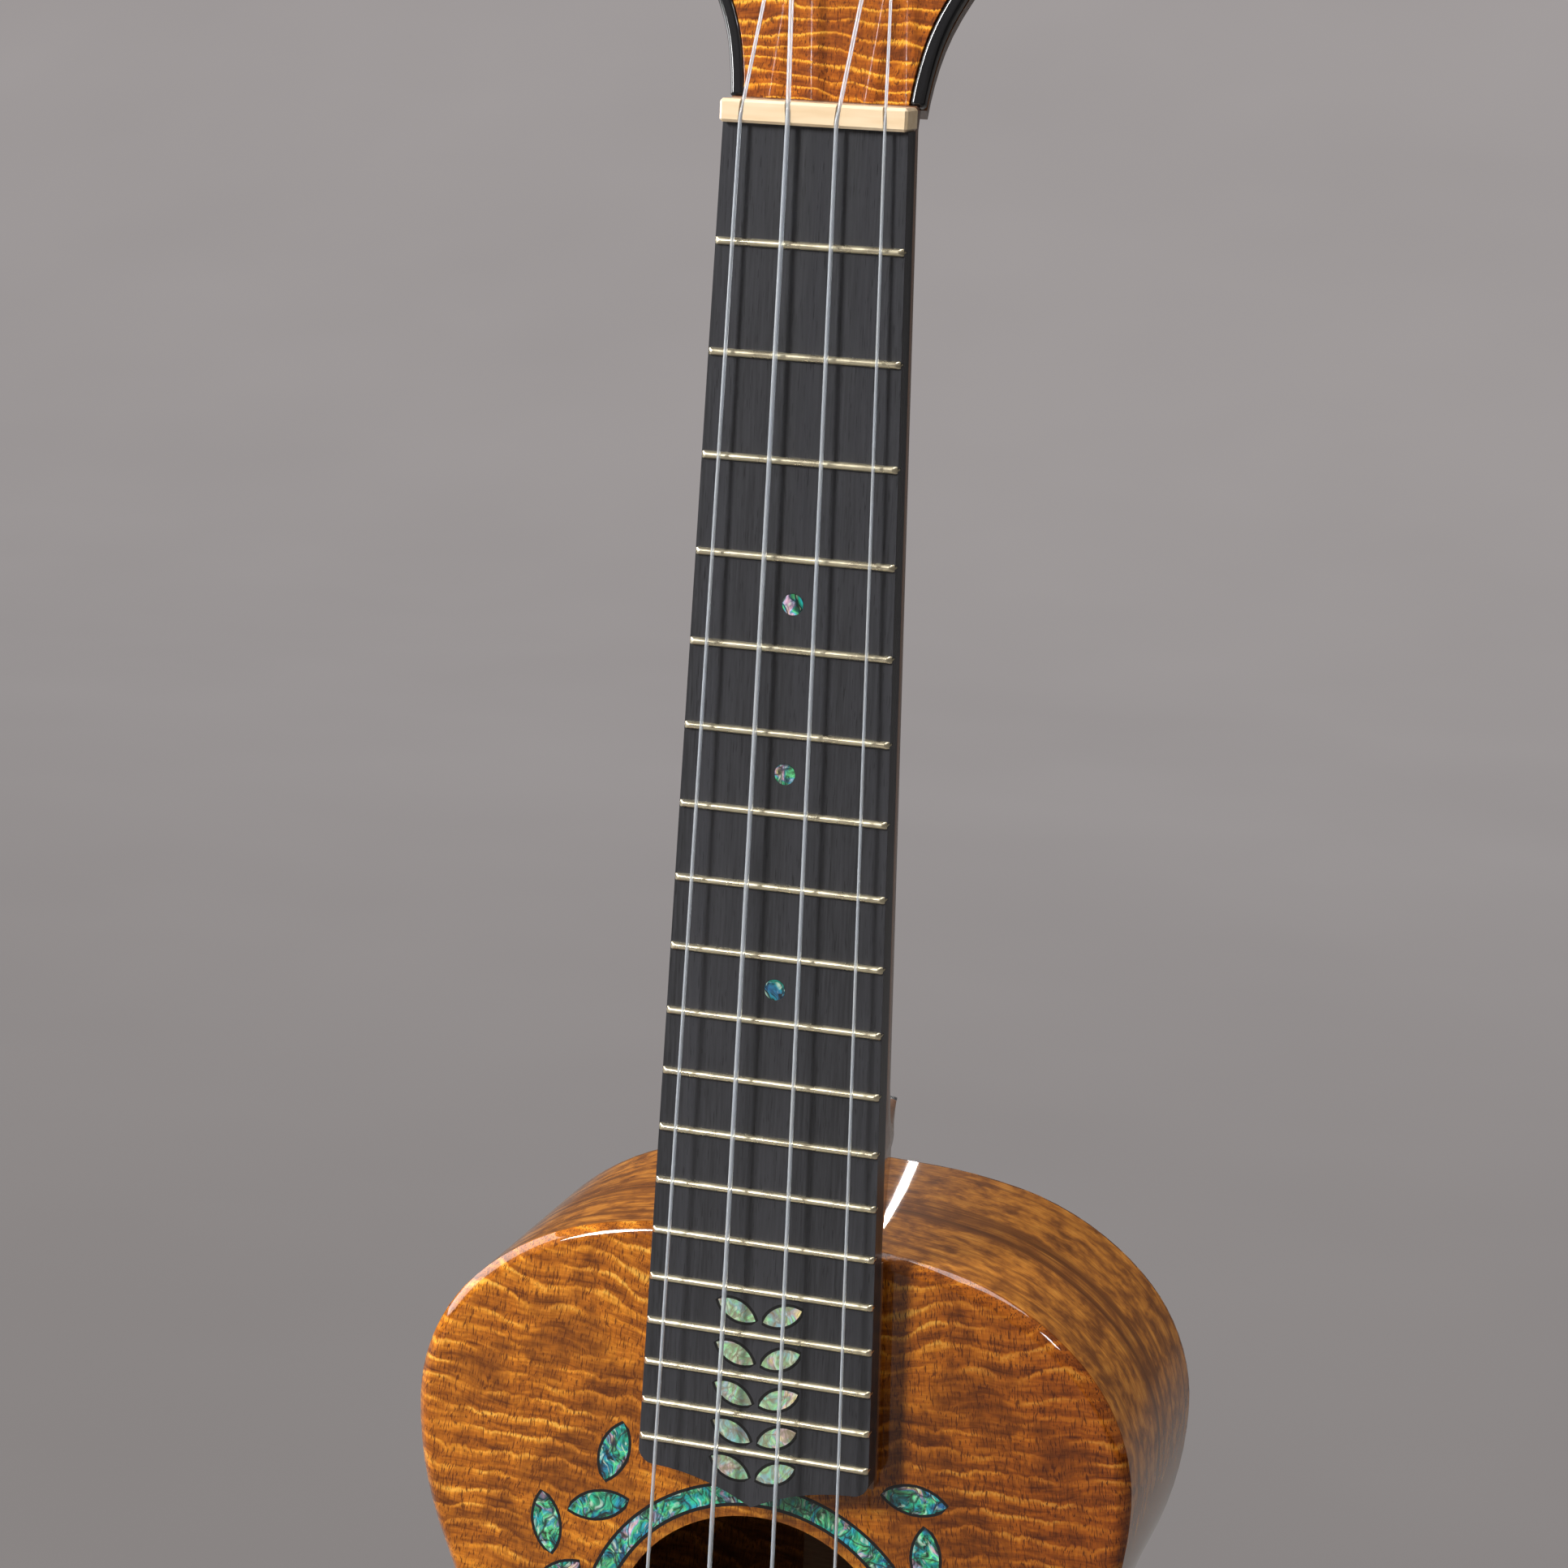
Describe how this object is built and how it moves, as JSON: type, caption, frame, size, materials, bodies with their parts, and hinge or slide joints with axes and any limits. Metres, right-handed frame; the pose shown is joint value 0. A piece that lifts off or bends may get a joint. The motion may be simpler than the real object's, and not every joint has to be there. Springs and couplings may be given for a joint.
{
  "type": "concert ukulele",
  "caption": "Concert ukulele: hollow figure-eight wooden body with a soundhole, slim fretted neck, tilted headstock and open-geared tuners with worm-driven posts",
  "frame": {"origin": "middle of the ground plane under the tail end: width and depth centred, lowest point of the body at zero height", "axes": "+X to the treble side, +Y from the soundboard to the back, +Z from the tail up the neck"},
  "size_m": [0.197, 0.0804, 0.6166],
  "materials": {
    "koa_top": "gloss lacquer, curly grain",
    "koa_ring": "gloss lacquer",
    "koa_back": "gloss lacquer, curly grain",
    "koa_side": "gloss lacquer, curly grain",
    "koa_head": "gloss lacquer",
    "neck_wood": "satin lacquer",
    "block_wood": "bare",
    "lining_wood": "bare",
    "brace_wood": "bare",
    "ebony": "satin",
    "ebony_trim": "gloss lacquer",
    "black_binding": "polished",
    "abalone": "polished shell",
    "pearl": "polished",
    "bone": "polished bone",
    "fret_metal": "polished nickel silver",
    "tuner_metal": "polished",
    "post_metal": "polished",
    "gear_brass": "cut, bare",
    "button_plastic": "polished",
    "string": "clear fluorocarbon"
  },
  "bodies": {
    "instrument": {"soundboard": "koa_top", "soundhole_ring": "koa_ring", "rosette_inlay": "abalone", "back_plate": "koa_back", "rib_right": "koa_side", "rib_left": "koa_side", "top_linings": "lining_wood", "back_linings": "lining_wood", "neck_block": "block_wood", "tail_block": "block_wood", "upper_brace": "brace_wood", "lower_brace": "brace_wood", "fan_braces": "brace_wood", "bridge_patch": "brace_wood", "soundhole_patch": "brace_wood", "back_braces": "brace_wood", "back_strip": "brace_wood", "tail_graft": "ebony_trim", "neck": "neck_wood", "heel_cap": "ebony_trim", "headstock_veneer": "koa_head", "headstock_binding": "black_binding", "neck_riser": "neck_wood", "fingerboard": "ebony", "side_dots": "pearl", "position_dots": "abalone", "frets": "fret_metal", "nut": "bone", "bridge": "ebony", "saddle": "bone", "g_string": "string", "c_string": "string", "e_string": "string", "a_string": "string", "tuner_plates": "tuner_metal", "post_bushings": "tuner_metal", "tuner_screws": "tuner_metal"},
    "g_post_unit": {"g_post": "post_metal", "g_gear": "gear_brass", "g_winding": "string"},
    "g_worm_unit": {"g_worm": "tuner_metal", "g_button": "button_plastic"},
    "c_post_unit": {"c_post": "post_metal", "c_gear": "gear_brass", "c_winding": "string"},
    "c_worm_unit": {"c_worm": "tuner_metal", "c_button": "button_plastic"},
    "e_post_unit": {"e_post": "post_metal", "e_gear": "gear_brass", "e_winding": "string"},
    "e_worm_unit": {"e_worm": "tuner_metal", "e_button": "button_plastic"},
    "a_post_unit": {"a_post": "post_metal", "a_gear": "gear_brass", "a_winding": "string"},
    "a_worm_unit": {"a_worm": "tuner_metal", "a_button": "button_plastic"}
  },
  "joints": [
    {"name": "g_post_turn", "type": "hinge", "parent": "instrument", "child": "g_post_unit", "pos_m": [-0.0132, -0.02003, 0.53837], "axis": [0, -0.9781, 0.2079], "continuous": true},
    {"name": "g_button_turn", "type": "hinge", "parent": "instrument", "child": "g_worm_unit", "pos_m": [-0.0132, -0.00405, 0.52817], "axis": [1, 0, 0], "continuous": true},
    {"name": "c_post_turn", "type": "hinge", "parent": "instrument", "child": "c_post_unit", "pos_m": [-0.0148, -0.01254, 0.57358], "axis": [0, -0.9781, 0.2079], "continuous": true},
    {"name": "c_button_turn", "type": "hinge", "parent": "instrument", "child": "c_worm_unit", "pos_m": [-0.0148, 0.00344, 0.56338], "axis": [1, 0, 0], "continuous": true},
    {"name": "e_post_turn", "type": "hinge", "parent": "instrument", "child": "e_post_unit", "pos_m": [0.0148, -0.01254, 0.57358], "axis": [0, -0.9781, 0.2079], "continuous": true},
    {"name": "e_button_turn", "type": "hinge", "parent": "instrument", "child": "e_worm_unit", "pos_m": [0.0148, 0.00344, 0.56338], "axis": [1, 0, 0], "continuous": true},
    {"name": "a_post_turn", "type": "hinge", "parent": "instrument", "child": "a_post_unit", "pos_m": [0.0132, -0.02003, 0.53837], "axis": [0, -0.9781, 0.2079], "continuous": true},
    {"name": "a_button_turn", "type": "hinge", "parent": "instrument", "child": "a_worm_unit", "pos_m": [0.0132, -0.00405, 0.52817], "axis": [1, 0, 0], "continuous": true}
  ],
  "couplings": [
    {"joint": "g_button_turn", "follows": "g_post_turn", "ratio": -14},
    {"joint": "c_button_turn", "follows": "c_post_turn", "ratio": -14},
    {"joint": "e_button_turn", "follows": "e_post_turn", "ratio": 14},
    {"joint": "a_button_turn", "follows": "a_post_turn", "ratio": 14}
  ]
}
